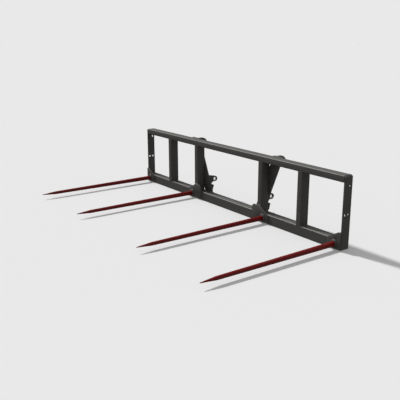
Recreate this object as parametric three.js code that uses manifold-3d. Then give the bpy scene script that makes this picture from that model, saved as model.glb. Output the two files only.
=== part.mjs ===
// Four-tine bale spear frame with a two-hook loader hitch, as a welded frame with bolted tines.
// Millimetres. +X runs along the frame, +Y to the rear (the loader's side), +Z up.
// The origin is the middle of the bottom rail's underside, and the tines point along -Y.
import * as THREE from 'three';
import { mergeVertices } from 'three/addons/utils/BufferGeometryUtils.js';
import Module from 'manifold-3d';

const wasm = await Module();
wasm.setup();

// ---- overall ----
const frameWidth = 2620; // over the end plates
const frameHeight = 543; // over the two rails
const frameDepth = 80; // of the rails and posts
const jointGap = 0.3; // between pieces that are welded or seated on each other
const roundSegments = 24; // sides of a turned piece or a hole
const cornerSegments = 4; // sides of a quarter-round corner

// ---- hollow sections ----
const bottomRail = { height: 80, wall: 5, corner: 8 };
const topRail = { height: 50, wall: 4, corner: 7 };
const post = { width: 50, wall: 4, corner: 5 };
const innerPostX = 442; // post centres, from the frame's middle
const outerPostX = 884;

// ---- end plates ----
const endPlate = { thickness: 10, depthInset: 2, heightInset: 5, corner: 6 };
const endHole = { diameter: 18, offset: 18, topDrop: 78, pairHeight: 260 };

// ---- tines and what holds them ----
const tineAxisHeight = 43.5;
const innerTineX = 494;
const tineLength = 1152; // exposed, from the sleeve's mouth to the tip
const tineRadius = 21; // over the corners of the eight-sided bar, at the sleeve
const tineShoulderRadius = 14.5;
const tinePointLength = 128; // the forged point
const tineTipRadius = 2.5;
const tineNeckLength = 8; // round stretch in front of the sleeve
const tineNeckRadius = 21;
const tineSides = 8;
const threadRadius = 14;
const threadEnd = 9; // thread left past the nut
const sleeve = { radius: 30, front: 22, rear: 6, plateClearance: 18 };
const coneStep = 1.5; // from the thread out to the cone's small end
const washer = { radius: 27, thickness: 5 };
const nut = { acrossFlats: 41, height: 24 };

// ---- reinforcing plates around the sleeves ----
// The web is what a plate has left under its sleeve hole.
const tinePlate = { thickness: 10, web: 5.2, top: 137, slope: THREE.MathUtils.degToRad(29.5) };
const innerTinePlate = { high: 134, low: 62, flat: 87, chamfer: 21 };
const outerTinePlate = { low: 65, flat: 24, chamfer: 3 };

// ---- hitch brackets ----
// The strip leans outwards by the slope below, across for each mm up. Reaches run to the rear
// from the frame's rear face, and drops run down from the frame's top.
const strip = { width: 100, thickness: 12, slope: 0.425, bottom: 45, rise: 3 };
const hitchPlateThickness = 20;
// The root is what the hook has between the strip and its mouth.
const hook = { x: 531, root: 9.4, drop: 59, barRadius: 25, barClearance: 1, band: 35 };
const hookTipDrop = 34; // of the tip and of the root, below the bar's centre
const hookRootDrop = 52;
const hookLeadIn = 11;
const hookTipTaper = 8;
const ear = { inboard: 9.5, reach: 93, z: 174.5, hole: 15.5, wall: 10, topRise: 42.5 };
const earNotch = { reach: 52, z: 136 };
const footPad = { width: 50, length: 57, thickness: 12, tilt: THREE.MathUtils.degToRad(15) };
const footPadTop = { reach: 68.6, z: 121.5 }; // the pad's upper rear edge

// ---- places that follow from the sizes above ----
const halfWidth = frameWidth / 2;
const halfDepth = frameDepth / 2;
const endPlateInner = halfWidth - endPlate.thickness;
const railHalfLength = endPlateInner - jointGap;
const topRailBottom = frameHeight - topRail.height;
const outerTineX = endPlateInner - sleeve.plateClearance - sleeve.radius;
const sleeveHole = sleeve.radius + jointGap;
const tinePlateRear = -halfDepth - jointGap;
const tinePlateBottom = tineAxisHeight - sleeveHole - tinePlate.web;
const coneRearRadius = threadRadius + coneStep;
const sleeveFront = -halfDepth - sleeve.front;
const sleeveRear = halfDepth + sleeve.rear;
const washerFront = sleeveRear + jointGap;
const nutFront = washerFront + washer.thickness + jointGap;
const nutRear = nutFront + nut.height;
const stripRear = halfDepth + jointGap + strip.thickness;
const hitchPlateFront = stripRear + jointGap;
const hookMouthRadius = hook.barRadius + hook.barClearance;
const hookCentre = { y: hitchPlateFront + hook.root + hookMouthRadius, z: frameHeight - hook.drop };
const hookOuterRadius = hookMouthRadius + hook.band;
const stripMiddleAt = (z) => hook.x + (z - hookCentre.z) * strip.slope;
const earX = stripMiddleAt(ear.z) - ear.inboard;
const earY = halfDepth + ear.reach;
const earRadius = ear.hole + ear.wall;

const darkPaint = { color: 0x36342f, roughness: 0.5, metalness: 0.25 };
const redPaint = { color: 0xb01414, roughness: 0.4, metalness: 0.2 };
const zincPlate = { color: 0xa8a79f, roughness: 0.35, metalness: 0.9 };

const X = new THREE.Vector3(1, 0, 0);
const Y = new THREE.Vector3(0, 1, 0);
const Z = new THREE.Vector3(0, 0, 1);
const sideView = new THREE.Matrix4().makeBasis(Y, Z, X); // drawn in Y and Z, thick along +X
const frontView = new THREE.Matrix4().makeBasis(X, Z, Y.clone().negate()); // in X and Z, along -Y

const model = new THREE.Group();

function add(name, geometry, paint) {
  const material = new THREE.MeshStandardMaterial(paint);
  const mesh = new THREE.Mesh(geometry, material);
  mesh.name = name;
  model.add(mesh);
  return mesh;
}

// ---- geometry helpers ----
function polygon(points) {
  const outline = points.map(([u, v]) => new THREE.Vector2(u, v));
  if (THREE.ShapeUtils.isClockWise(outline)) outline.reverse();
  return new THREE.Shape(outline);
}

function roundedRect(target, width, height, radius) {
  const w = width / 2 - radius;
  const h = height / 2 - radius;
  const quarter = Math.PI / 2;
  target.absarc(w, -h, radius, -quarter, 0);
  target.absarc(w, h, radius, 0, quarter);
  target.absarc(-w, h, radius, quarter, Math.PI);
  target.absarc(-w, -h, radius, Math.PI, 3 * quarter);
  target.closePath();
  return target;
}

function circlePath(u, v, radius) {
  const path = new THREE.Path();
  path.absarc(u, v, radius, 0, 2 * Math.PI, true);
  return path;
}

function hollowSection(width, height, wall, corner) {
  const shape = roundedRect(new THREE.Shape(), width, height, corner);
  shape.holes.push(roundedRect(new THREE.Path(), width - 2 * wall, height - 2 * wall, corner - wall / 2));
  return shape;
}

function extrude(shape, depth, view, curveSegments = cornerSegments) {
  const geometry = new THREE.ExtrudeGeometry(shape, { depth, bevelEnabled: false, curveSegments });
  return view ? geometry.applyMatrix4(view) : geometry;
}

// A turned piece about the Y axis: the profile is [radius, y] pairs, listed from front to rear.
function turned(profile, segments = roundSegments) {
  const points = profile.map(([radius, y]) => new THREE.Vector2(radius, y));
  return new THREE.LatheGeometry(points, segments);
}

function toSolid(geometry) {
  const bare = geometry.clone();
  bare.deleteAttribute('normal');
  bare.deleteAttribute('uv');
  const merged = mergeVertices(bare, 1e-4);
  const index = Array.from(merged.index.array);
  const triVerts = [];
  for (let i = 0; i < index.length; i += 3) {
    const [a, b, c] = index.slice(i, i + 3);
    if (a !== b && b !== c && c !== a) triVerts.push(a, b, c);
  }
  const vertProperties = new Float32Array(merged.attributes.position.array);
  const mesh = new wasm.Mesh({ numProp: 3, vertProperties, triVerts: new Uint32Array(triVerts) });
  return new wasm.Manifold(mesh);
}

function toGeometry(solid) {
  const mesh = solid.getMesh();
  const geometry = new THREE.BufferGeometry();
  geometry.setAttribute('position', new THREE.BufferAttribute(mesh.vertProperties, 3));
  geometry.setIndex(new THREE.BufferAttribute(mesh.triVerts, 1));
  return geometry;
}

// ---- rails, posts and end plates ----
const tineStations = [
  { number: 1, x: -outerTineX, outer: true },
  { number: 2, x: -innerTineX, outer: false },
  { number: 3, x: innerTineX, outer: false },
  { number: 4, x: outerTineX, outer: true },
];

function rail(section, middleHeight) {
  const shape = hollowSection(frameDepth, section.height, section.wall, section.corner);
  const geometry = extrude(shape, 2 * railHalfLength, sideView);
  return geometry.translate(-railHalfLength, 0, middleHeight);
}

let bottomRailSolid = toSolid(rail(bottomRail, bottomRail.height / 2));
for (const { x } of tineStations) {
  const drill = turned([[0, -frameDepth], [sleeveHole, -frameDepth], [sleeveHole, frameDepth],
    [0, frameDepth]]);
  bottomRailSolid = bottomRailSolid.subtract(toSolid(drill.translate(x, 0, tineAxisHeight)));
}
add('bottom_rail', toGeometry(bottomRailSolid), darkPaint);
add('top_rail', rail(topRail, frameHeight - topRail.height / 2), darkPaint);

function addPost(name, x) {
  const bottom = bottomRail.height + jointGap;
  const shape = hollowSection(post.width, frameDepth, post.wall, post.corner);
  add(name, extrude(shape, topRailBottom - jointGap - bottom).translate(x, 0, bottom), darkPaint);
}

function addEndPlate(name, side) {
  const depth = frameDepth - 2 * endPlate.depthInset;
  const height = frameHeight - 2 * endPlate.heightInset;
  const middle = frameHeight / 2;
  const shape = roundedRect(new THREE.Shape(), depth, height, endPlate.corner);
  const pairZ = endHole.pairHeight - middle;
  const topZ = middle - endHole.topDrop;
  const { offset } = endHole;
  for (const [y, z] of [[offset, topZ], [offset, pairZ], [-offset, pairZ]]) {
    shape.holes.push(circlePath(y, z, endHole.diameter / 2));
  }
  const start = side > 0 ? endPlateInner : -halfWidth;
  const geometry = extrude(shape, endPlate.thickness, sideView, roundSegments / 2);
  add(name, geometry.translate(start, 0, middle), darkPaint);
}

for (const [word, side] of [['left', -1], ['right', 1]]) {
  addEndPlate(`end_plate_${word}`, side);
  addPost(`outer_post_${word}`, side * outerPostX);
  addPost(`inner_post_${word}`, side * innerPostX);
}

// ---- tine stations ----
// The plate's upright edge is its high side, which lies towards side * X. Its top slopes down
// to the low side.
function tinePlateShape(side, high, { low, flat, chamfer }) {
  const { top, slope } = tinePlate;
  const bottom = tinePlateBottom;
  const shoulder = top - (high + low - flat) * Math.tan(slope);
  const outline = [[high, bottom], [high, top - chamfer], [high - chamfer, top],
    [high - flat, top], [-low, shoulder], [-low, bottom]];
  const shape = polygon(outline.map(([across, z]) => [side * across, z]));
  shape.holes.push(circlePath(0, tineAxisHeight, sleeveHole));
  return shape;
}

function addTinePlate({ number, x, outer }) {
  const outward = Math.sign(x);
  const shape = outer
    ? tinePlateShape(outward, halfWidth - outerTineX, outerTinePlate)
    : tinePlateShape(-outward, innerTinePlate.high, innerTinePlate);
  const geometry = extrude(shape, tinePlate.thickness, frontView, roundSegments / 2);
  add(`tine_plate_${number}`, geometry.translate(x, tinePlateRear, 0), darkPaint);
}

// The tine is an eight-sided bar with a forged point, a round neck, a cone that seats in the
// sleeve and a threaded end.
function tineGeometry() {
  const tip = sleeveFront - tineLength;
  const neckFront = sleeveFront - tineNeckLength;
  const barEnd = neckFront + tineNeckLength / 2;
  const bar = turned([[0, tip], [tineTipRadius, tip], [tineShoulderRadius, tip + tinePointLength],
    [tineRadius, barEnd], [0, barEnd]], tineSides);
  const shank = turned([[0, neckFront], [tineNeckRadius, neckFront], [tineNeckRadius, sleeveFront],
    [coneRearRadius, sleeveRear - jointGap], [threadRadius, sleeveRear - jointGap],
    [threadRadius, nutRear + threadEnd], [0, nutRear + threadEnd]]);
  return toGeometry(toSolid(bar).add(toSolid(shank)));
}

function sleeveGeometry() {
  const front = tineNeckRadius + jointGap;
  const rear = coneRearRadius + jointGap;
  return turned([[front, sleeveFront], [sleeve.radius, sleeveFront], [sleeve.radius, sleeveRear],
    [rear, sleeveRear], [front, sleeveFront]]);
}

function washerGeometry() {
  const bore = threadRadius + 2 * jointGap;
  const rear = washerFront + washer.thickness;
  return turned([[bore, washerFront], [washer.radius, washerFront], [washer.radius, rear],
    [bore, rear], [bore, washerFront]]);
}

function nutGeometry() {
  const corner = nut.acrossFlats / 2 / Math.cos(Math.PI / 6);
  const corners = Array.from({ length: 6 }, (_, i) => {
    const angle = (i * Math.PI) / 3;
    return [corner * Math.cos(angle), corner * Math.sin(angle)];
  });
  const shape = polygon(corners);
  shape.holes.push(circlePath(0, 0, threadRadius + jointGap));
  return extrude(shape, nut.height, frontView, roundSegments / 2).translate(0, nutRear, 0);
}

for (const station of tineStations) {
  const { number, x } = station;
  addTinePlate(station);
  add(`tine_sleeve_${number}`, sleeveGeometry(), darkPaint).position.set(x, 0, tineAxisHeight);
  add(`tine_${number}`, tineGeometry(), redPaint).position.set(x, 0, tineAxisHeight);
  add(`tine_washer_${number}`, washerGeometry(), zincPlate).position.set(x, 0, tineAxisHeight);
  add(`tine_nut_${number}`, nutGeometry(), zincPlate).position.set(x, 0, tineAxisHeight);
}

// ---- hitch bracket pieces ----
// The strip leans outwards, so that it carries the ear plate low down and the hook plate high up.
function stripShape(side) {
  const halfAcross = (strip.width / 2) * Math.hypot(1, strip.slope);
  const top = frameHeight + strip.rise;
  const { bottom } = strip;
  const outline = [[stripMiddleAt(bottom) - halfAcross, bottom],
    [stripMiddleAt(bottom) + halfAcross, bottom],
    [stripMiddleAt(top) + halfAcross, top], [stripMiddleAt(top) - halfAcross, top]];
  return polygon(outline.map(([across, z]) => [side * across, z]));
}

// The hook opens downwards over a round cross bar.
function hookShape() {
  const { y, z } = hookCentre;
  const rootBottom = z - hookRootDrop;
  const tipBottom = z - hookTipDrop;
  const shape = new THREE.Shape();
  shape.moveTo(hitchPlateFront, rootBottom);
  shape.lineTo(y - hookMouthRadius - hookLeadIn / 2, rootBottom);
  shape.lineTo(y - hookMouthRadius, rootBottom + hookLeadIn);
  shape.absarc(y, z, hookMouthRadius, Math.PI, 0, true);
  shape.lineTo(y + hookMouthRadius, tipBottom + hookLeadIn);
  shape.lineTo(y + hookMouthRadius + hookLeadIn, tipBottom);
  shape.lineTo(y + hookOuterRadius - hookTipTaper, tipBottom);
  shape.absarc(y, z, hookOuterRadius, 0, Math.PI / 2, false);
  shape.lineTo(hitchPlateFront, z + hookOuterRadius);
  shape.closePath();
  return shape;
}

// Unit vectors of the foot pad in the Y-Z plane: along it upwards, and out of its rear face.
const padUp = { y: Math.sin(footPad.tilt), z: Math.cos(footPad.tilt) };
const padOut = { y: Math.cos(footPad.tilt), z: -Math.sin(footPad.tilt) };

function onPad(down, inward) {
  return [halfDepth + footPadTop.reach - down * padUp.y - inward * padOut.y,
    footPadTop.z - down * padUp.z - inward * padOut.z];
}

function earShape() {
  const seat = footPad.thickness + jointGap;
  const [footTopY, footTopZ] = onPad(0, seat);
  const [footBottomY, footBottomZ] = onPad(footPad.length, seat);
  const tangent = THREE.MathUtils.degToRad(80);
  const underside = THREE.MathUtils.degToRad(-125);
  const shape = new THREE.Shape();
  shape.moveTo(hitchPlateFront, footBottomZ);
  shape.lineTo(footBottomY, footBottomZ);
  shape.lineTo(footTopY, footTopZ);
  shape.lineTo(halfDepth + earNotch.reach, earNotch.z);
  shape.absarc(earY, ear.z, earRadius, underside, tangent, false);
  shape.lineTo(hitchPlateFront, ear.z + ear.topRise);
  shape.closePath();
  shape.holes.push(circlePath(earY, ear.z, ear.hole));
  return shape;
}

function footPadShape() {
  return polygon([onPad(footPad.length, footPad.thickness), onPad(footPad.length, 0), onPad(0, 0),
    onPad(0, footPad.thickness)]);
}

for (const [word, side] of [['left', -1], ['right', 1]]) {
  const stripGeometry = extrude(stripShape(side), strip.thickness, frontView);
  add(`back_strip_${word}`, stripGeometry.translate(0, stripRear, 0), darkPaint);

  const hookStart = side * hook.x - hitchPlateThickness / 2;
  const hookGeometry = extrude(hookShape(), hitchPlateThickness, sideView, roundSegments / 2);
  add(`hook_plate_${word}`, hookGeometry.translate(hookStart, 0, 0), darkPaint);

  const earStart = side * earX - hitchPlateThickness / 2;
  const earGeometry = extrude(earShape(), hitchPlateThickness, sideView, roundSegments / 2);
  add(`ear_plate_${word}`, earGeometry.translate(earStart, 0, 0), darkPaint);

  const padStart = side * earX - footPad.width / 2;
  const padGeometry = extrude(footPadShape(), footPad.width, sideView);
  add(`foot_pad_${word}`, padGeometry.translate(padStart, 0, 0), darkPaint);
}

export default model;
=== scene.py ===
import math

import bpy
from mathutils import Matrix, Vector


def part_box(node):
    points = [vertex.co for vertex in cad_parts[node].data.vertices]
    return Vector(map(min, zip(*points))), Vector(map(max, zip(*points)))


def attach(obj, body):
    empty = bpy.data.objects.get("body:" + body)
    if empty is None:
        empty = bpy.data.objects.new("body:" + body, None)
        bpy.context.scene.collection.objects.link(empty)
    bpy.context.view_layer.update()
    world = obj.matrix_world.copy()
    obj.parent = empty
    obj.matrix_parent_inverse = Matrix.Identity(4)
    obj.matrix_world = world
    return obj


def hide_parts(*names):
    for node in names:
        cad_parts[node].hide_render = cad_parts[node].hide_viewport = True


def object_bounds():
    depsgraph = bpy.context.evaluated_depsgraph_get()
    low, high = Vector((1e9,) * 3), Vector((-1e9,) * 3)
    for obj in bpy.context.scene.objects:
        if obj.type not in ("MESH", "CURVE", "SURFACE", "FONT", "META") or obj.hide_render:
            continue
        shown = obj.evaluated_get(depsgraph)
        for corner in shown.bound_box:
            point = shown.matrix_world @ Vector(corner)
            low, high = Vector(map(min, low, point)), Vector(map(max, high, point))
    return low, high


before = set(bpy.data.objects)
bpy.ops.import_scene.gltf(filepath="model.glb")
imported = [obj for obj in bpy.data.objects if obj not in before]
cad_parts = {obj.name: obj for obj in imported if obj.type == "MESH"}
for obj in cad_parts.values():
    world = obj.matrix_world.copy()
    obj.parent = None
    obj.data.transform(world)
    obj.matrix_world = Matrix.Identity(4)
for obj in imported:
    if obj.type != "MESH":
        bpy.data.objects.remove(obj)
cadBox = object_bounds()
print("frame loaded:", len(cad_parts), "nodes")

view = {
    "place": (3.8952, -3.0998, 1.4653),
    "yaw": -54.4254,
    "pitch": 15.6259,
    "roll": -0.2269,
    "lens": 53.053,
    "sensor": 36.0,
}


def makeCamera():
    yaw, pitch, roll = (math.radians(view[key]) for key in ("yaw", "pitch", "roll"))
    ahead = Vector((math.sin(yaw) * math.cos(pitch), math.cos(yaw) * math.cos(pitch),
                    -math.sin(pitch)))
    level = ahead.cross(Vector((0, 0, 1))).normalized()
    upward = level.cross(ahead)
    right = level * math.cos(roll) + upward * math.sin(roll)
    top = upward * math.cos(roll) - level * math.sin(roll)
    bpy.ops.object.camera_add(location=view["place"])
    camera = bpy.context.object
    camera.name = "mainCamera"
    turn = Matrix((right, top, -ahead)).transposed().to_4x4()
    camera.matrix_world = Matrix.Translation(view["place"]) @ turn
    camera.data.lens = view["lens"]
    camera.data.sensor_width = view["sensor"]
    camera.data.clip_end = 200
    bpy.context.scene.camera = camera


light = {
    "towards": (-0.66, -0.105, 0.72),  # from the object to the lamp
    "strength": 2.72,
    "softness": 5.5,  # degrees across
    "skyLight": 0.28,
    "horizonLight": 0.24,
    "groundLight": 0.16,
    "skySeen": 0.815,
    "floorSize": 160.0,
    "floorGap": 0.0002,
    "floorGrey": 0.72,
    "floorGlow": 0.164,
}


def makeLight():
    bpy.ops.object.light_add(type="SUN", location=(-4, -1.5, 5))
    lamp = bpy.context.object
    lamp.name = "keyLight"
    lamp.rotation_euler = Vector(light["towards"]).to_track_quat("Z", "Y").to_euler()
    lamp.data.energy = light["strength"]
    lamp.data.angle = math.radians(light["softness"])
    sky = bpy.data.worlds.new("studioSky")
    sky.use_nodes = True
    bpy.context.scene.world = sky
    nodes, links = sky.node_tree.nodes, sky.node_tree.links
    nodes.clear()
    output = nodes.new("ShaderNodeOutputWorld")
    lit = nodes.new("ShaderNodeBackground")
    seen = nodes.new("ShaderNodeBackground")
    mix = nodes.new("ShaderNodeMixShader")
    path = nodes.new("ShaderNodeLightPath")
    lit.inputs["Color"].default_value = (1, 1, 1, 1)
    # the studio is a little brighter overhead than underfoot
    way = nodes.new("ShaderNodeTexCoord")
    split = nodes.new("ShaderNodeSeparateXYZ")
    links.new(way.outputs["Generated"], split.inputs["Vector"])
    below = spread(nodes, links, split.outputs["Z"], -0.1, 0.0,
                   light["groundLight"], light["horizonLight"])
    above = spread(nodes, links, split.outputs["Z"], 0.0, 1.0,
                   0.0, light["skyLight"] - light["horizonLight"])
    whole = nodes.new("ShaderNodeMath")
    links.new(below, whole.inputs[0])
    links.new(above, whole.inputs[1])
    links.new(whole.outputs["Value"], lit.inputs["Strength"])
    seen.inputs["Color"].default_value = (1, 1, 1, 1)
    seen.inputs["Strength"].default_value = light["skySeen"]
    links.new(path.outputs["Is Camera Ray"], mix.inputs["Fac"])
    links.new(lit.outputs["Background"], mix.inputs[1])
    links.new(seen.outputs["Background"], mix.inputs[2])
    links.new(mix.outputs["Shader"], output.inputs["Surface"])


def makeFloor():
    level = cadBox[0][2] - light["floorGap"]
    bpy.ops.mesh.primitive_plane_add(size=light["floorSize"], location=(0, 0, level))
    floor = bpy.context.object
    floor.name = "studioFloor"
    paper = bpy.data.materials.new("studioPaper")
    paper.use_nodes = True
    shader = paper.node_tree.nodes["Principled BSDF"]
    grey = light["floorGrey"]
    shader.inputs["Base Color"].default_value = (grey, grey, grey, 1)
    shader.inputs["Roughness"].default_value = 1.0
    shader.inputs["Specular IOR Level"].default_value = 0.0
    shader.inputs["Emission Color"].default_value = (1, 1, 1, 1)
    shader.inputs["Emission Strength"].default_value = light["floorGlow"]
    floor.data.materials.append(paper)
    floor.visible_diffuse = False  # the pale floor throws no light back up
    floor.visible_glossy = False


def newMaterial(name):
    material = bpy.data.materials.new(name)
    material.use_nodes = True
    nodes, links = material.node_tree.nodes, material.node_tree.links
    shader = nodes["Principled BSDF"]
    place = nodes.new("ShaderNodeTexCoord")
    return material, nodes, links, shader, place.outputs["Object"]


def noiseFrom(nodes, links, place, scale, detail=3.0, rough=0.5, stretch=(1, 1, 1)):
    mapping = nodes.new("ShaderNodeMapping")
    mapping.inputs["Scale"].default_value = stretch
    links.new(place, mapping.inputs["Vector"])
    noise = nodes.new("ShaderNodeTexNoise")
    noise.inputs["Scale"].default_value = scale
    noise.inputs["Detail"].default_value = detail
    noise.inputs["Roughness"].default_value = rough
    links.new(mapping.outputs["Vector"], noise.inputs["Vector"])
    return noise.outputs["Fac"]


def spread(nodes, links, value, fromLow, fromHigh, toLow, toHigh):
    node = nodes.new("ShaderNodeMapRange")
    node.inputs["From Min"].default_value = fromLow
    node.inputs["From Max"].default_value = fromHigh
    node.inputs["To Min"].default_value = toLow
    node.inputs["To Max"].default_value = toHigh
    links.new(value, node.inputs["Value"])
    return node.outputs["Result"]


def blendColours(nodes, links, factor, first, second):
    node = nodes.new("ShaderNodeMix")
    node.data_type = "RGBA"
    if isinstance(factor, float):
        node.inputs["Factor"].default_value = factor
    else:
        links.new(factor, node.inputs["Factor"])
    for socket, colour in ((node.inputs["A"], first), (node.inputs["B"], second)):
        if isinstance(colour, tuple):
            socket.default_value = (*colour, 1)
        else:
            links.new(colour, socket)
    return node.outputs["Result"]


def multiply(nodes, links, first, second):
    node = nodes.new("ShaderNodeMath")
    node.operation = "MULTIPLY"
    links.new(first, node.inputs[0])
    links.new(second, node.inputs[1])
    return node.outputs["Value"]


def bumpFrom(nodes, links, height, strength, distance, under=None):
    bump = nodes.new("ShaderNodeBump")
    bump.inputs["Strength"].default_value = strength
    bump.inputs["Distance"].default_value = distance
    links.new(height, bump.inputs["Height"])
    if under is not None:
        links.new(under, bump.inputs["Normal"])
    return bump.outputs["Normal"]


def upwardness(nodes, links):
    geometry = nodes.new("ShaderNodeNewGeometry")
    split = nodes.new("ShaderNodeSeparateXYZ")
    links.new(geometry.outputs["Normal"], split.inputs["Vector"])
    return spread(nodes, links, split.outputs["Z"], 0.35, 1.0, 0.0, 1.0)


# chips is how readily the coat has rubbed through, from 0 to 1
def charcoalPaint(name, chips, gloss=0.0):
    material, nodes, links, shader, place = newMaterial(name)
    cloud = noiseFrom(nodes, links, place, 5.5, 4.0, 0.6)
    grain = noiseFrom(nodes, links, place, 160.0, 2.0, 0.5)
    base = blendColours(nodes, links, spread(nodes, links, cloud, 0.3, 0.7, 0.0, 1.0),
                        (0.109, 0.106, 0.0995), (0.131, 0.1275, 0.119))
    base = blendColours(nodes, links, spread(nodes, links, grain, 0.35, 0.75, 0.0, 0.22),
                        base, (0.178, 0.173, 0.163))
    # a film of dust lies on what faces up
    dust = multiply(nodes, links, upwardness(nodes, links),
                    spread(nodes, links, noiseFrom(nodes, links, place, 14.0, 5.0, 0.65),
                           0.35, 0.75, 0.0, 0.14))
    base = blendColours(nodes, links, dust, base, (0.25, 0.235, 0.21))
    # long faint rub marks, then chips down to primer and steel
    rub = noiseFrom(nodes, links, place, 30.0, 6.0, 0.7, (0.18, 1.0, 1.0))
    rubMask = spread(nodes, links, rub, 0.62 - 0.10 * chips, 0.72 - 0.08 * chips, 0.0, 0.25)
    base = blendColours(nodes, links, rubMask, base, (0.205, 0.199, 0.188))
    flake = noiseFrom(nodes, links, place, 75.0, 5.0, 0.62)
    flakeMask = spread(nodes, links, flake, 0.74 - 0.17 * chips, 0.76 - 0.16 * chips, 0.0, 0.85)
    base = blendColours(nodes, links, flakeMask, base, (0.36, 0.345, 0.32))
    links.new(base, shader.inputs["Base Color"])
    links.new(spread(nodes, links, flakeMask, 0.0, 1.0, 0.0, 0.8), shader.inputs["Metallic"])
    sheen = noiseFrom(nodes, links, place, 22.0, 4.0, 0.6)
    links.new(spread(nodes, links, sheen, 0.3, 0.7, 0.36 - gloss, 0.50 - gloss),
              shader.inputs["Roughness"])
    peel = noiseFrom(nodes, links, place, 330.0, 2.0, 0.4)
    normal = bumpFrom(nodes, links, peel, 0.10, 0.0006)
    normal = bumpFrom(nodes, links, flakeMask, 0.25, -0.0002, normal)
    links.new(normal, shader.inputs["Normal"])
    shader.inputs["Specular IOR Level"].default_value = 0.40
    return material


def tineRed(name, chips):
    material, nodes, links, shader, place = newMaterial(name)
    cloud = noiseFrom(nodes, links, place, 9.0, 4.0, 0.6, (1.0, 0.35, 1.0))
    base = blendColours(nodes, links, spread(nodes, links, cloud, 0.3, 0.7, 0.0, 1.0),
                        (0.215, 0.0025, 0.0025), (0.275, 0.0045, 0.0045))
    grime = multiply(nodes, links, upwardness(nodes, links),
                     spread(nodes, links, noiseFrom(nodes, links, place, 25.0, 5.0, 0.65),
                            0.4, 0.75, 0.0, 0.07))
    base = blendColours(nodes, links, grime, base, (0.16, 0.10, 0.085))
    # scuffs run along the bar, the way it slides into a bale
    scuff = noiseFrom(nodes, links, place, 60.0, 6.0, 0.7, (1.0, 0.06, 1.0))
    scuffMask = spread(nodes, links, scuff, 0.66 - 0.10 * chips, 0.76 - 0.10 * chips, 0.0, 0.35)
    base = blendColours(nodes, links, scuffMask, base, (0.10, 0.006, 0.006))
    flake = noiseFrom(nodes, links, place, 90.0, 5.0, 0.62, (1.0, 0.45, 1.0))
    flakeMask = spread(nodes, links, flake, 0.755 - 0.18 * chips, 0.775 - 0.17 * chips, 0.0, 0.8)
    base = blendColours(nodes, links, flakeMask, base, (0.10, 0.085, 0.08))
    links.new(base, shader.inputs["Base Color"])
    links.new(spread(nodes, links, flakeMask, 0.0, 1.0, 0.0, 0.85), shader.inputs["Metallic"])
    sheen = noiseFrom(nodes, links, place, 30.0, 4.0, 0.6, (1.0, 0.3, 1.0))
    links.new(spread(nodes, links, sheen, 0.3, 0.7, 0.30, 0.44), shader.inputs["Roughness"])
    forged = noiseFrom(nodes, links, place, 55.0, 3.0, 0.55, (1.0, 0.5, 1.0))
    peel = noiseFrom(nodes, links, place, 380.0, 2.0, 0.4)
    normal = bumpFrom(nodes, links, forged, 0.30, 0.0010)
    normal = bumpFrom(nodes, links, peel, 0.10, 0.0005, normal)
    normal = bumpFrom(nodes, links, flakeMask, 0.25, -0.0002, normal)
    links.new(normal, shader.inputs["Normal"])
    shader.inputs["Specular IOR Level"].default_value = 0.35
    return material


def zincPlate(name):
    material, nodes, links, shader, place = newMaterial(name)
    spangle = noiseFrom(nodes, links, place, 140.0, 4.0, 0.6)
    base = blendColours(nodes, links, spread(nodes, links, spangle, 0.3, 0.7, 0.0, 1.0),
                        (0.36, 0.355, 0.335), (0.52, 0.515, 0.49))
    stain = noiseFrom(nodes, links, place, 45.0, 5.0, 0.7)
    stainMask = spread(nodes, links, stain, 0.55, 0.72, 0.0, 0.55)
    base = blendColours(nodes, links, stainMask, base, (0.20, 0.175, 0.14))
    links.new(base, shader.inputs["Base Color"])
    links.new(spread(nodes, links, stainMask, 0.0, 1.0, 0.95, 0.55), shader.inputs["Metallic"])
    links.new(spread(nodes, links, spangle, 0.3, 0.7, 0.28, 0.45), shader.inputs["Roughness"])
    turnMarks = noiseFrom(nodes, links, place, 500.0, 2.0, 0.5, (1.0, 0.1, 1.0))
    links.new(bumpFrom(nodes, links, turnMarks, 0.12, 0.0003), shader.inputs["Normal"])
    return material


makeCamera()
makeLight()
makeFloor()
bpy.context.scene.view_settings.view_transform = "Standard"
print("camera, light and floor ready")

paint = charcoalPaint("charcoalPaint", 0.05)
paintEdge = charcoalPaint("charcoalEdge", 0.30)
paintWeld = charcoalPaint("charcoalWeld", 0.12, 0.05)
red = tineRed("tineRed", 0.05)
redEdge = tineRed("tineRedEdge", 0.40)
zinc = zincPlate("zincPlate")
print("finishes ready")


def deselectAll():
    if bpy.context.mode != "OBJECT":
        bpy.ops.object.mode_set(mode="OBJECT")
    bpy.ops.object.select_all(action="DESELECT")


def makeActive(piece):
    deselectAll()
    piece.select_set(True)
    bpy.context.view_layer.objects.active = piece


def editPiece(piece, kind="FACE"):
    makeActive(piece)
    bpy.ops.object.mode_set(mode="EDIT")
    bpy.ops.mesh.select_mode(type=kind)
    bpy.ops.mesh.select_all(action="DESELECT")


def settle(piece):
    makeActive(piece)
    bpy.ops.object.transform_apply(location=True, rotation=True, scale=True)


def addBlock(name, low, high):
    deselectAll()
    bpy.ops.mesh.primitive_cube_add(size=1, location=(Vector(low) + Vector(high)) / 2)
    piece = bpy.context.object
    piece.name = name
    piece.scale = Vector(high) - Vector(low)
    settle(piece)
    return piece


def pickFaces(piece, wanted):
    editPiece(piece, "FACE")
    bpy.ops.object.mode_set(mode="OBJECT")
    for face in piece.data.polygons:
        face.select = wanted(face.center, face.normal)
    bpy.ops.object.mode_set(mode="EDIT")


def pickEdges(piece, wanted):
    editPiece(piece, "EDGE")
    bpy.ops.object.mode_set(mode="OBJECT")
    points = piece.data.vertices
    for edge in piece.data.edges:
        first, second = (points[index].co for index in edge.vertices)
        edge.select = wanted(first, second)
    bpy.ops.object.mode_set(mode="EDIT")


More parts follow.
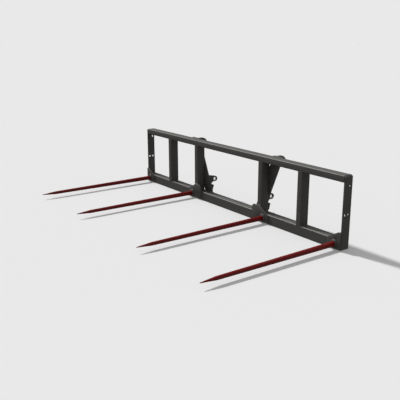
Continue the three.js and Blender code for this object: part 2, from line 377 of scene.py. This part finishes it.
def pickVerts(piece, wanted):
    editPiece(piece, "VERT")
    bpy.ops.object.mode_set(mode="OBJECT")
    for point in piece.data.vertices:
        point.select = wanted(point.co)
    bpy.ops.object.mode_set(mode="EDIT")


def applyModifier(piece, kind, **values):
    makeActive(piece)
    modifier = piece.modifiers.new(kind.title(), kind)
    for key, value in values.items():
        setattr(modifier, key, value)
    bpy.ops.object.modifier_apply(modifier=modifier.name)


def tidyFaces(piece):
    editPiece(piece, "VERT")
    bpy.ops.mesh.select_all(action="SELECT")
    bpy.ops.mesh.remove_doubles(threshold=0.00001)
    bpy.ops.mesh.normals_make_consistent(inside=False)
    bpy.ops.object.mode_set(mode="OBJECT")


def smoothPiece(piece, angle=32):
    makeActive(piece)
    bpy.ops.object.shade_smooth_by_angle(angle=math.radians(angle))


def cutWith(piece, cutter, operation="DIFFERENCE"):
    applyModifier(piece, "BOOLEAN", operation=operation, object=cutter, solver="EXACT")
    bpy.data.objects.remove(cutter)


def addRod(name, centre, axis, radius, length, sides):
    deselectAll()
    bpy.ops.mesh.primitive_cylinder_add(vertices=sides, radius=radius, depth=length,
                                        location=centre)
    rod = bpy.context.object
    rod.name = name
    if axis == "X":
        rod.rotation_euler = (0, math.radians(90), 0)
    if axis == "Y":
        rod.rotation_euler = (math.radians(-90), 0, 0)
    settle(rod)
    return rod


def roundEdges(piece, width, segments=3, angle=38):
    applyModifier(piece, "BEVEL", width=width, segments=segments, limit_method="ANGLE",
                  angle_limit=math.radians(angle), material=1, harden_normals=False)


def dress(piece, nodes, materials):
    slots = piece.data.materials
    for index, material in enumerate(materials):  # each face keeps the slot it was given
        if index < len(slots):
            slots[index] = material
        else:
            slots.append(material)
    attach(piece, "root")
    if nodes:
        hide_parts(*nodes)


def givePaintSlots(piece, count=2):
    piece.data.materials.clear()
    for _ in range(count):
        piece.data.materials.append(paint)


# An outline is drawn point by point: ("to", a, b) is a straight run, and ("arc", a, b, degrees)
# turns about a centre, anticlockwise when positive. axis is the direction that it faces.
def drawOutline(name, axis, level, start, moves, arcStep=6):
    def place(a, b):
        return Vector((level, a, b)) if axis == "X" else Vector((a, level, b))

    deselectAll()
    bpy.ops.mesh.primitive_plane_add(size=0.002, location=place(*start))
    piece = bpy.context.object
    piece.name = name
    settle(piece)
    editPiece(piece, "VERT")
    bpy.ops.mesh.select_all(action="SELECT")
    bpy.ops.mesh.merge(type="CENTER")
    here = place(*start)
    for kind, a, b, *turn in moves:
        if kind == "to":
            step = place(a, b) - here
            bpy.ops.mesh.extrude_vertices_move(TRANSFORM_OT_translate={"value": step})
            here = place(a, b)
        else:
            degrees = turn[0]
            steps = max(2, round(abs(degrees) / arcStep))
            facing = (1, 0, 0) if axis == "X" else (0, -1, 0)
            bpy.ops.mesh.spin(steps=steps, angle=math.radians(-degrees), center=place(a, b),
                              axis=facing)
            arm = here - place(a, b)
            turned = Matrix.Rotation(math.radians(degrees), 3, Vector(facing)) @ arm
            here = place(a, b) + turned
    bpy.ops.mesh.select_all(action="SELECT")
    bpy.ops.mesh.remove_doubles(threshold=0.00001)
    return piece


# closes the outline to a face and gives it its thickness
def thicken(piece, offset):
    bpy.ops.mesh.select_all(action="SELECT")
    bpy.ops.mesh.edge_face_add()
    bpy.ops.mesh.extrude_region_move(TRANSFORM_OT_translate={"value": offset})
    bpy.ops.object.mode_set(mode="OBJECT")
    tidyFaces(piece)


# turns a drawn profile about a line along Y through (x, z)
def turnProfile(piece, x, z, steps=64):
    bpy.ops.mesh.select_all(action="SELECT")
    bpy.ops.mesh.spin(steps=steps, angle=math.radians(360), center=(x, 0, z), axis=(0, 1, 0))
    bpy.ops.object.mode_set(mode="OBJECT")
    tidyFaces(piece)


def joinPieces(name, pieces):
    deselectAll()
    for piece in pieces:
        piece.select_set(True)
    bpy.context.view_layer.objects.active = pieces[0]
    bpy.ops.object.join()
    joined = bpy.context.object
    joined.name = name
    joined.data.name = name
    return joined


section = {
    "bottomCorner": 0.008, "bottomWall": 0.005,
    "topCorner": 0.007, "topWall": 0.004,
    "postCorner": 0.005, "postWall": 0.004,
    "cornerSteps": 6, "holeClear": 0.0002,
}


def hollowBar(name, node, axis, corner, wall):
    low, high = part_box(node)
    piece = addBlock(name, low, high)
    givePaintSlots(piece)
    way = "XYZ".index(axis)
    pickEdges(piece, lambda a, b: abs((b - a).normalized()[way]) > 0.99)
    bpy.ops.mesh.bevel(offset=corner, offset_type="OFFSET", segments=section["cornerSteps"],
                       profile=0.5)
    pickFaces(piece, lambda centre, normal: abs(normal[way]) > 0.99)
    bpy.ops.mesh.delete(type="FACE")
    bpy.ops.object.mode_set(mode="OBJECT")
    applyModifier(piece, "SOLIDIFY", thickness=wall, offset=-1.0, use_even_offset=True)
    return piece


def makeRails():
    bottom = hollowBar("bottomRail", "bottom_rail", "X",
                       section["bottomCorner"], section["bottomWall"])
    for number in range(1, 5):
        low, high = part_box(f"tine_sleeve_{number}")
        middle = (low + high) / 2
        radius = (high.x - low.x) / 2 + section["holeClear"]
        cutter = addRod("sleeveHole", middle, "Y", radius, 0.2, 64)
        cutWith(bottom, cutter)
    smoothPiece(bottom)
    dress(bottom, ["bottom_rail"], [paint, paintEdge])
    top = hollowBar("topRail", "top_rail", "X", section["topCorner"], section["topWall"])
    smoothPiece(top)
    dress(top, ["top_rail"], [paint, paintEdge])


def makePosts():
    for place in ("outer", "inner"):
        for side in ("left", "right"):
            node = f"{place}_post_{side}"
            post = hollowBar(f"{place}Post{side.title()}", node, "Z",
                             section["postCorner"], section["postWall"])
            smoothPiece(post)
            dress(post, [node], [paint, paintEdge])


makeRails()
makePosts()
print("rails and posts ready")


endPlate = {
    "corner": 0.006, "edgeRound": 0.0013, "holeRadius": 0.009,
    "holes": ((0.018, 0.465), (0.018, 0.260), (-0.018, 0.260)),  # Y and Z
}


def makeEndPlates():
    for side in ("left", "right"):
        low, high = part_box(f"end_plate_{side}")
        plate = addBlock(f"endPlate{side.title()}", low, high)
        givePaintSlots(plate)
        pickEdges(plate, lambda a, b: abs((b - a).normalized().x) > 0.99)
        bpy.ops.mesh.bevel(offset=endPlate["corner"], segments=6, profile=0.5)
        bpy.ops.object.mode_set(mode="OBJECT")
        for y, z in endPlate["holes"]:
            middle = ((low.x + high.x) / 2, y, z)
            cutWith(plate, addRod("boltHole", middle, "X", endPlate["holeRadius"], 0.05, 48))
        roundEdges(plate, endPlate["edgeRound"])
        smoothPiece(plate)
        dress(plate, [f"end_plate_{side}"], [paint, paintEdge])


makeEndPlates()
print("end plates ready")


tinePlate = {
    "slope": 29.5, "edgeRound": 0.0014, "holeClear": 0.0003,
    "inner": {"flat": 0.087, "chamfer": 0.021},
    "outer": {"flat": 0.024, "chamfer": 0.003},
}


# the tall edge stands towards the frame's end on the outer plates, and inwards on the others
def plateSides(number, low, high, x):
    outer = number in (1, 4)
    shape = tinePlate["outer" if outer else "inner"]
    towards = (1 if x > 0 else -1) * (1 if outer else -1)
    tall, short = (high.x, low.x) if towards > 0 else (low.x, high.x)
    drop = (abs(tall - short) - shape["flat"]) * math.tan(math.radians(tinePlate["slope"]))
    return outer, shape, towards, tall, short, drop


def makeTinePlates():
    for number in range(1, 5):
        low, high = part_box(f"tine_plate_{number}")
        sleeveLow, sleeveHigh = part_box(f"tine_sleeve_{number}")
        middle = (sleeveLow + sleeveHigh) / 2
        _, shape, towards, tall, short, drop = plateSides(number, low, high, middle.x)
        plate = drawOutline(f"tinePlate{number}", "Y", low.y, (tall, low.z), [
            ("to", tall, high.z - shape["chamfer"]),
            ("to", tall - towards * shape["chamfer"], high.z),
            ("to", tall - towards * shape["flat"], high.z),
            ("to", short, high.z - drop),
            ("to", short, low.z),
            ("to", tall, low.z),
        ])
        thicken(plate, (0, high.y - low.y, 0))
        givePaintSlots(plate)
        radius = (sleeveHigh.x - sleeveLow.x) / 2 + tinePlate["holeClear"]
        cutWith(plate, addRod("sleeveHole", (middle.x, low.y, middle.z), "Y", radius, 0.06, 96))
        roundEdges(plate, tinePlate["edgeRound"])
        smoothPiece(plate)
        dress(plate, [f"tine_plate_{number}"], [paint, paintEdge])


sleeve = {
    "mouthRadius": 0.0213, "smallRadius": 0.0158, "chamfer": 0.0018,
    "lip": 0.0006, "lipDepth": 0.0008,
}


def makeSleeves():
    for number in range(1, 5):
        low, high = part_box(f"tine_sleeve_{number}")
        x, z, radius = (low.x + high.x) / 2, (low.z + high.z) / 2, (high.x - low.x) / 2
        chamfer, mouth, small = sleeve["chamfer"], sleeve["mouthRadius"], sleeve["smallRadius"]
        lip = sleeve["lip"]
        # drawn above the axis, in Y and Z
        bush = drawOutline(f"tineSleeve{number}", "X", x, (low.y, z + mouth + lip), [
            ("to", low.y, z + radius - chamfer),
            ("to", low.y + chamfer, z + radius),
            ("to", high.y - chamfer, z + radius),
            ("to", high.y, z + radius - chamfer),
            ("to", high.y, z + small),
            ("to", low.y + sleeve["lipDepth"], z + mouth),
            ("to", low.y, z + mouth + lip),
        ])
        turnProfile(bush, x, z)
        smoothPiece(bush)
        dress(bush, [f"tine_sleeve_{number}"], [paint])


tine = {
    "sides": 8, "radius": 0.021, "shoulderRadius": 0.0145, "tipRadius": 0.0028, "point": 0.128,
    "neckRadius": 0.021, "neckLength": 0.008, "coneRadius": 0.0155, "threadRadius": 0.014,
    "threadDepth": 0.0009, "pitch": 0.0015, "edgeRound": 0.0012,
    "tipLength": 0.002, "tipBlunt": 0.45, "neckCut": 0.001, "coneGap": 0.0003, "endCut": 0.0006,
}


def makeTines():
    for number in range(1, 5):
        low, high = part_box(f"tine_{number}")
        sleeveLow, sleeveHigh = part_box(f"tine_sleeve_{number}")
        x, z = (low.x + high.x) / 2, (low.z + high.z) / 2
        mouth, rear = sleeveLow.y, sleeveHigh.y
        shoulder = low.y + tine["point"]
        barEnd = mouth - tine["neckLength"] / 2
        bar = addRod(f"tine{number}", (x, (shoulder + barEnd) / 2, z), "Y", tine["radius"],
                     barEnd - shoulder, tine["sides"])
        for _ in range(3):
            bar.data.materials.append(red)
        # the bar narrows to its shoulder, and the point is drawn out from there
        pickFaces(bar, lambda centre, normal: normal.y < -0.9)
        narrow = tine["shoulderRadius"] / tine["radius"]
        bpy.ops.transform.resize(value=(narrow, 1, narrow), center_override=(x, shoulder, z))
        tip, blunt = tine["tipLength"], tine["tipBlunt"]
        drawOut = (0, low.y + tip - shoulder, 0)
        bpy.ops.mesh.extrude_region_move(TRANSFORM_OT_translate={"value": drawOut})
        fine = tine["tipRadius"] / tine["shoulderRadius"]
        bpy.ops.transform.resize(value=(fine, 1, fine), center_override=(x, low.y + tip, z))
        bpy.ops.mesh.extrude_region_move(TRANSFORM_OT_translate={"value": (0, -tip, 0)})
        bpy.ops.transform.resize(value=(blunt, 1, blunt), center_override=(x, low.y, z))
        bpy.ops.object.mode_set(mode="OBJECT")
        # the long corners are softened as far as the shoulder, and the point keeps its own
        pickEdges(bar, lambda a, b: (abs((b - a).normalized().y) > 0.98
                                     and min(a.y, b.y) > shoulder - 0.001))
        bpy.ops.mesh.bevel(offset=tine["edgeRound"], segments=2, profile=0.6, material=1)
        bpy.ops.object.mode_set(mode="OBJECT")
        neckFront = mouth - tine["neckLength"]
        thread, root = tine["threadRadius"], tine["threadRadius"] - tine["threadDepth"]
        moves = [
            ("to", neckFront, z + tine["neckRadius"] - tine["neckCut"]),
            ("to", neckFront + tine["neckCut"], z + tine["neckRadius"]),
            ("to", mouth, z + tine["neckRadius"]),
            ("to", rear - tine["coneGap"], z + tine["coneRadius"]),
            ("to", rear - tine["coneGap"], z + thread),
        ]
        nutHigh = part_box(f"tine_nut_{number}")[1]
        y = nutHigh.y - 0.003
        moves.append(("to", y, z + thread))
        while y + tine["pitch"] < high.y - 0.002:
            moves.append(("to", y + tine["pitch"] / 2, z + root))
            moves.append(("to", y + tine["pitch"], z + thread))
            y += tine["pitch"]
        moves += [("to", high.y, z + root - tine["endCut"]), ("to", high.y, z)]
        shank = drawOutline("shank", "X", x, (neckFront, z), moves)
        turnProfile(shank, x, z)
        shank.data.materials.append(red)
        cutWith(bar, shank, "UNION")
        # the thread behind the sleeve is left bare
        for face in bar.data.polygons:
            if face.center.y > rear - 0.0005:
                face.material_index = 2
        smoothPiece(bar, 24)
        dress(bar, [f"tine_{number}"], [red, redEdge, zinc])


washer = {"bore": 0.0146, "edgeRound": 0.0007}
nut = {
    "bore": 0.0143, "cornerCut": 0.0212, "coneRise": 0.0035, "coneReach": 0.026,
    "edgeRound": 0.0005,
}


def makeFasteners():
    for number in range(1, 5):
        low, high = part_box(f"tine_washer_{number}")
        middle = (low + high) / 2
        disc = addRod(f"tineWasher{number}", middle, "Y", (high.x - low.x) / 2, high.y - low.y, 64)
        for _ in range(2):
            disc.data.materials.append(zinc)
        cutWith(disc, addRod("bore", middle, "Y", washer["bore"], 0.05, 64))
        roundEdges(disc, washer["edgeRound"], 2)
        smoothPiece(disc)
        dress(disc, [f"tine_washer_{number}"], [zinc, zinc])

        low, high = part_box(f"tine_nut_{number}")
        middle = (low + high) / 2
        body = addRod(f"tineNut{number}", middle, "Y", (high.x - low.x) / 2, high.y - low.y, 6)
        # the six corners point along X, so the flats are level
        makeActive(body)
        if abs(max(point.co.z for point in body.data.vertices) - high.z) > 0.001:
            bpy.ops.object.mode_set(mode="EDIT")
            bpy.ops.mesh.select_all(action="SELECT")
            bpy.ops.transform.rotate(value=math.radians(30), orient_axis="Y",
                                     center_override=middle)
            bpy.ops.object.mode_set(mode="OBJECT")
        # a blank with coned ends takes the corners off
        cut, rise, reach = nut["cornerCut"], nut["coneRise"], nut["coneReach"]
        blank = drawOutline("blank", "X", middle.x, (low.y, middle.z), [
            ("to", low.y, middle.z + cut - 0.001),
            ("to", low.y + rise, middle.z + reach),
            ("to", high.y - rise, middle.z + reach),
            ("to", high.y, middle.z + cut - 0.001),
            ("to", high.y, middle.z),
        ])
        turnProfile(blank, middle.x, middle.z, 72)
        cutWith(body, blank, "INTERSECT")
        cutWith(body, addRod("bore", middle, "Y", nut["bore"], 0.08, 64))
        body.data.materials.clear()
        for _ in range(2):
            body.data.materials.append(zinc)
        roundEdges(body, nut["edgeRound"], 2, 45)
        smoothPiece(body, 28)
        dress(body, [f"tine_nut_{number}"], [zinc, zinc])


makeTinePlates()
makeSleeves()
makeTines()
makeFasteners()
print("tine stations ready")


hitch = {
    "stripSlope": 0.425, "stripWidth": 0.100, "stripRound": 0.0016, "plateRound": 0.0016,
    "hookOuter": 0.061, "hookMouth": 0.026, "hookRoot": 0.052, "hookTip": 0.034,
    "leadIn": 0.011, "tipTaper": 0.008,
    "eyeRadius": 0.0155, "earOuter": 0.0255, "earRise": 0.0425, "notch": (0.092, 0.136),
    "earStart": -125, "earTurn": 205,
    "padTilt": 15.0, "padLength": 0.057, "padThickness": 0.012, "padRound": 0.0016, "seat": 0.0003,
}


def makeStrip(side):
    low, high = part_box(f"back_strip_{side}")
    outwards = 1 if side == "right" else -1
    across = hitch["stripWidth"] * math.hypot(1, hitch["stripSlope"])
    near, far = sorted((low.x * outwards, high.x * outwards))
    corners = [(near, low.z), (near + across, low.z), (far, high.z), (far - across, high.z)]
    points = [(x * outwards, z) for x, z in corners]
    strip = drawOutline(f"backStrip{side.title()}", "Y", low.y, points[0],
                        [("to", *point) for point in points[1:] + points[:1]])
    thicken(strip, (0, high.y - low.y, 0))
    givePaintSlots(strip)
    roundEdges(strip, hitch["stripRound"])
    smoothPiece(strip)
    dress(strip, [f"back_strip_{side}"], [paint, paintEdge])


def makeHook(side):
    low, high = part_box(f"hook_plate_{side}")
    y, z = high.y - hitch["hookOuter"], high.z - hitch["hookOuter"]
    mouth, outer, lead = hitch["hookMouth"], hitch["hookOuter"], hitch["leadIn"]
    rootBottom, tipBottom = z - hitch["hookRoot"], z - hitch["hookTip"]
    hook = drawOutline(f"hookPlate{side.title()}", "X", low.x, (low.y, rootBottom), [
        ("to", y - mouth - lead / 2, rootBottom),
        ("to", y - mouth, rootBottom + lead),
        ("to", y - mouth, z),
        ("arc", y, z, -180),
        ("to", y + mouth, tipBottom + lead),
        ("to", y + mouth + lead, tipBottom),
        ("to", y + outer - hitch["tipTaper"], tipBottom),
        ("to", y + outer, z),
        ("arc", y, z, 90),
        ("to", low.y, z + outer),
        ("to", low.y, rootBottom),
    ], 5)
    thicken(hook, (high.x - low.x, 0, 0))
    givePaintSlots(hook)
    roundEdges(hook, hitch["plateRound"], 3, 25)
    smoothPiece(hook)
    dress(hook, [f"hook_plate_{side}"], [paint, paintEdge])


def makeEar(side):
    low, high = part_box(f"ear_plate_{side}")
    y, z = high.y - hitch["earOuter"], high.z - hitch["earRise"]
    radius, tilt = hitch["earOuter"], math.radians(hitch["padTilt"])
    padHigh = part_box(f"foot_pad_{side}")[1]
    # the seat line of the foot pad, from its lower to its upper end
    inset = hitch["padThickness"] + hitch["seat"]
    topY = padHigh.y - inset * math.cos(tilt)
    topZ = padHigh.z - hitch["padThickness"] * math.sin(tilt) + inset * math.sin(tilt)
    bottomY = topY - hitch["padLength"] * math.sin(tilt)
    bottomZ = topZ - hitch["padLength"] * math.cos(tilt)
    notchY, notchZ = hitch["notch"]
    under = math.radians(hitch["earStart"])
    ear = drawOutline(f"earPlate{side.title()}", "X", low.x, (low.y, bottomZ), [
        ("to", bottomY, bottomZ),
        ("to", topY, topZ),
        ("to", notchY, notchZ),
        ("to", y + radius * math.cos(under), z + radius * math.sin(under)),
        ("arc", y, z, hitch["earTurn"]),
        ("to", low.y, high.z),
        ("to", low.y, bottomZ),
    ], 5)
    thicken(ear, (high.x - low.x, 0, 0))
    givePaintSlots(ear)
    middle = ((low.x + high.x) / 2, y, z)
    cutWith(ear, addRod("eye", middle, "X", hitch["eyeRadius"], 0.06, 64))
    roundEdges(ear, hitch["plateRound"], 3, 25)
    smoothPiece(ear)
    dress(ear, [f"ear_plate_{side}"], [paint, paintEdge])


def makeFootPad(side):
    low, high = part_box(f"foot_pad_{side}")
    middle = (low + high) / 2
    half = Vector(((high.x - low.x) / 2, hitch["padThickness"] / 2, hitch["padLength"] / 2))
    pad = addBlock(f"footPad{side.title()}", middle - half, middle + half)
    givePaintSlots(pad)
    makeActive(pad)
    bpy.context.scene.cursor.location = middle
    bpy.ops.object.origin_set(type="ORIGIN_CURSOR")
    pad.rotation_euler = (math.radians(-hitch["padTilt"]), 0, 0)
    settle(pad)
    roundEdges(pad, hitch["padRound"])
    smoothPiece(pad)
    dress(pad, [f"foot_pad_{side}"], [paint, paintEdge])


for side in ("left", "right"):
    makeStrip(side)
    makeHook(side)
    makeEar(side)
    makeFootPad(side)
print("hitch brackets ready")


# from groove on, each entry is the bead's radius at one kind of seam
weld = {
    "pitch": 0.0032, "radius": 0.0042, "sides": 10, "swell": 1.14, "unevenness": 0.00022,
    "groove": 0.0036, "railSide": 0.0032, "railEnd": 0.0026, "plate": 0.0034,
    "sleeveFront": 0.0046, "sleeveRear": 0.0040, "bracket": 0.0046, "pad": 0.0040,
}


def makeRipple():
    # one ripple: an open band that swells in its middle
    deselectAll()
    bpy.ops.mesh.primitive_circle_add(vertices=weld["sides"], radius=1.0, location=(0, 0, 0))
    ripple = bpy.context.object
    ripple.name = "weldRipple"
    editPiece(ripple, "EDGE")
    bpy.ops.mesh.select_all(action="SELECT")
    for part, size in ((0.35, weld["swell"]), (0.65, 1 / weld["swell"])):
        bpy.ops.mesh.extrude_region_move(TRANSFORM_OT_translate={"value": (0, 0, part)})
        bpy.ops.transform.resize(value=(size, size, 1))
    bpy.ops.object.mode_set(mode="OBJECT")
    return ripple


ripple = makeRipple()
weldCount = [0]


def straightWeld(start, end, radius=None):
    radius = radius or weld["radius"]
    start, end = Vector(start), Vector(end)
    length = (end - start).length
    count = max(2, round(length / weld["pitch"]))
    bead = ripple.copy()
    bead.data = ripple.data.copy()
    bead.name = "bead"
    bpy.context.scene.collection.objects.link(bead)
    bead.scale = (radius, radius, length / count)
    settle(bead)
    applyModifier(bead, "ARRAY", count=count, use_relative_offset=False, use_constant_offset=True,
                  constant_offset_displace=(0, 0, length / count), use_merge_vertices=True,
                  merge_threshold=0.00005)
    editPiece(bead, "VERT")
    bpy.ops.mesh.select_all(action="SELECT")
    bpy.ops.mesh.fill_holes(sides=weld["sides"])
    bpy.ops.mesh.normals_make_consistent(inside=False)
    weldCount[0] += 1
    bpy.ops.transform.vertex_random(offset=weld["unevenness"], seed=weldCount[0])
    bpy.ops.object.mode_set(mode="OBJECT")
    bead.rotation_euler = (end - start).to_track_quat("Z", "Y").to_euler()
    bead.location = start
    settle(bead)
    return bead


def ringWeld(x, y, z, ringRadius, radius):
    deselectAll()
    rings = 2 * round(math.pi * 2 * ringRadius / weld["pitch"])
    bpy.ops.mesh.primitive_torus_add(location=(x, y, z), rotation=(math.radians(90), 0, 0),
                                     major_segments=rings, minor_segments=8,
                                     major_radius=ringRadius, minor_radius=radius)
    bead = bpy.context.object
    bead.name = "ringBead"
    settle(bead)
    middle = Vector((x, y, z))

    def onEvenRing(point):
        angle = math.atan2(point.z - middle.z, point.x - middle.x) / (2 * math.pi) * rings
        return round(angle) % 2 == 0

    pickVerts(bead, onEvenRing)
    bpy.ops.transform.shrink_fatten(value=radius * (weld["swell"] - 1))
    weldCount[0] += 1
    bpy.ops.mesh.select_all(action="SELECT")
    bpy.ops.transform.vertex_random(offset=weld["unevenness"], seed=weldCount[0])
    bpy.ops.object.mode_set(mode="OBJECT")
    return bead


def finishWelds(name, beads):
    joined = joinPieces(name, beads)
    makeActive(joined)
    bpy.ops.object.shade_smooth()
    dress(joined, [], [paintWeld])


def weldPosts():
    bottom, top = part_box("bottom_rail"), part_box("top_rail")
    beads = []
    for node in ("outer_post_left", "outer_post_right", "inner_post_left", "inner_post_right"):
        low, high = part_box(node)
        for height in (bottom[1].z, top[0].z):
            sign = -1 if height == bottom[1].z else 1
            for x in (low.x, high.x):
                beads.append(straightWeld((x, low.y + 0.007, height), (x, high.y - 0.007, height)))
            # the groove between the rail's round corner and the post's face
            for y, inward in ((low.y, 1), (high.y, -1)):
                place = (y + inward * 0.0035, height + sign * 0.0015)
                beads.append(straightWeld((low.x + 0.003, *place), (high.x - 0.003, *place),
                                          weld["groove"]))
    finishWelds("postWelds", beads)


def weldEnds():
    beads = []
    for side, outwards in (("left", -1), ("right", 1)):
        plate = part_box(f"end_plate_{side}")
        x = plate[0].x if outwards > 0 else plate[1].x
        for rail in ("bottom_rail", "top_rail"):
            low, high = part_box(rail)
            for y in (plate[0].y + 0.001, plate[1].y - 0.001):
                beads.append(straightWeld((x, y, max(low.z, plate[0].z) + 0.008),
                                          (x, y, min(high.z, plate[1].z) - 0.008),
                                          weld["railSide"]))
            inner = high.z if rail == "bottom_rail" else low.z
            outer = max(low.z, plate[0].z) if rail == "bottom_rail" else min(high.z, plate[1].z)
            beads.append(straightWeld((x, low.y + 0.008, inner), (x, high.y - 0.008, inner)))
            beads.append(straightWeld((x, plate[0].y + 0.007, outer),
                                      (x, plate[1].y - 0.007, outer), weld["railEnd"]))
    finishWelds("endPlateWelds", beads)


def weldTinePlates():
    beads = []
    for number in range(1, 5):
        low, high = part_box(f"tine_plate_{number}")
        sleeveLow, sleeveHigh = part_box(f"tine_sleeve_{number}")
        x, z = (sleeveLow.x + sleeveHigh.x) / 2, (sleeveLow.z + sleeveHigh.z) / 2
        radius = (sleeveHigh.x - sleeveLow.x) / 2
        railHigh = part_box("bottom_rail")[1].z
        outer, shape, towards, tall, short, drop = plateSides(number, low, high, x)
        sign = 1 if x > 0 else -1
        rear = high.y
        beads.append(straightWeld((short, rear, low.z + 0.002),
                                  (short, rear, high.z - drop - 0.004)))
        if not outer:
            beads.append(straightWeld((tall, rear, low.z + 0.002),
                                      (tall, rear, railHigh - 0.008)))
            # along the plate's upper edge where it crosses the post
            postLow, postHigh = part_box(f"inner_post_{'right' if x > 0 else 'left'}")
            nearX, farX = sorted((postLow.x, postHigh.x), key=abs)
            flatEnd = abs(tall) + shape["flat"]
            sloped = high.z - (abs(farX) - flatEnd) * math.tan(math.radians(tinePlate["slope"]))
            beads.append(straightWeld((nearX + sign * 0.004, rear, high.z),
                                      (sign * flatEnd, rear, high.z)))
            beads.append(straightWeld((sign * flatEnd, rear, high.z),
                                      (farX - sign * 0.004, rear, sloped)))
        else:
            plateInner = abs(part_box("end_plate_right")[0].x)
            beads.append(straightWeld((sign * plateInner, rear, high.z),
                                      (tall - towards * 0.003, rear, high.z), weld["plate"]))
        beads.append(straightWeld((min(tall, short) + 0.003, rear, low.z),
                                  (max(tall, short) - 0.003, rear, low.z), weld["plate"]))
        beads.append(ringWeld(x, low.y, z, radius + 0.0008, weld["sleeveFront"]))
        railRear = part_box("bottom_rail")[1].y
        beads.append(ringWeld(x, railRear, z, radius + 0.0004, weld["sleeveRear"]))
    finishWelds("tineStationWelds", beads)


def weldHitch():
    beads = []
    bottom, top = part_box("bottom_rail"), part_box("top_rail")
    for side, sign in (("left", -1), ("right", 1)):
        low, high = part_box(f"back_strip_{side}")
        across = hitch["stripWidth"] * math.hypot(1, hitch["stripSlope"])
        near = min(low.x * sign, high.x * sign)

        def edgeAt(height, far):
            return sign * (near + (across if far else 0) + (height - low.z) * hitch["stripSlope"])

        bands = ((low.z + 0.002, bottom[1].z - 0.008), (top[0].z + 0.007, top[1].z - 0.007))
        for far in (False, True):
            for bandLow, bandHigh in bands:
                beads.append(straightWeld((edgeAt(bandLow, far), low.y, bandLow),
                                          (edgeAt(bandHigh, far), low.y, bandHigh)))
        beads.append(straightWeld((edgeAt(low.z, False) + sign * 0.003, low.y, low.z),
                                  (edgeAt(low.z, True) - sign * 0.003, low.y, low.z)))
        # where the strip's outer edge runs over the post's rear face
        postLow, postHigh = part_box(f"inner_post_{side}")
        innerX, outerX = sorted((abs(postLow.x), abs(postHigh.x)))
        for far in (False, True):
            base = near + (across if far else 0)
            reach = [low.z + (x - base) / hitch["stripSlope"]
                     for x in (innerX + 0.005, outerX - 0.005)]
            bandLow, bandHigh = max(reach[0], bottom[1].z + 0.004), min(reach[1], top[0].z - 0.004)
            if bandHigh - bandLow > 0.02:
                beads.append(straightWeld((edgeAt(bandLow, far), low.y, bandLow),
                                          (edgeAt(bandHigh, far), low.y, bandHigh)))
        for name in ("hook_plate", "ear_plate"):
            plateLow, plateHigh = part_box(f"{name}_{side}")
            for x in (plateLow.x, plateHigh.x):
                beads.append(straightWeld((x, plateLow.y, plateLow.z + 0.003),
                                          (x, plateLow.y, min(plateHigh.z, high.z) - 0.004),
                                          weld["bracket"]))
        # the foot pad's two seams on the ear
        tilt = math.radians(hitch["padTilt"])
        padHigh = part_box(f"foot_pad_{side}")[1]
        earLow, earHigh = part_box(f"ear_plate_{side}")
        inset = hitch["padThickness"] + hitch["seat"]
        topY, topZ = padHigh.y - inset * math.cos(tilt), padHigh.z
        length = hitch["padLength"] - 0.004
        for x in (earLow.x, earHigh.x):
            beads.append(straightWeld((x, topY - 0.001, topZ - 0.003),
                                      (x, topY - length * math.sin(tilt),
                                       topZ - length * math.cos(tilt)), weld["pad"]))
    finishWelds("hitchWelds", beads)


weldPosts()
weldEnds()
weldTinePlates()
weldHitch()
bpy.data.objects.remove(ripple)
print("welds ready")
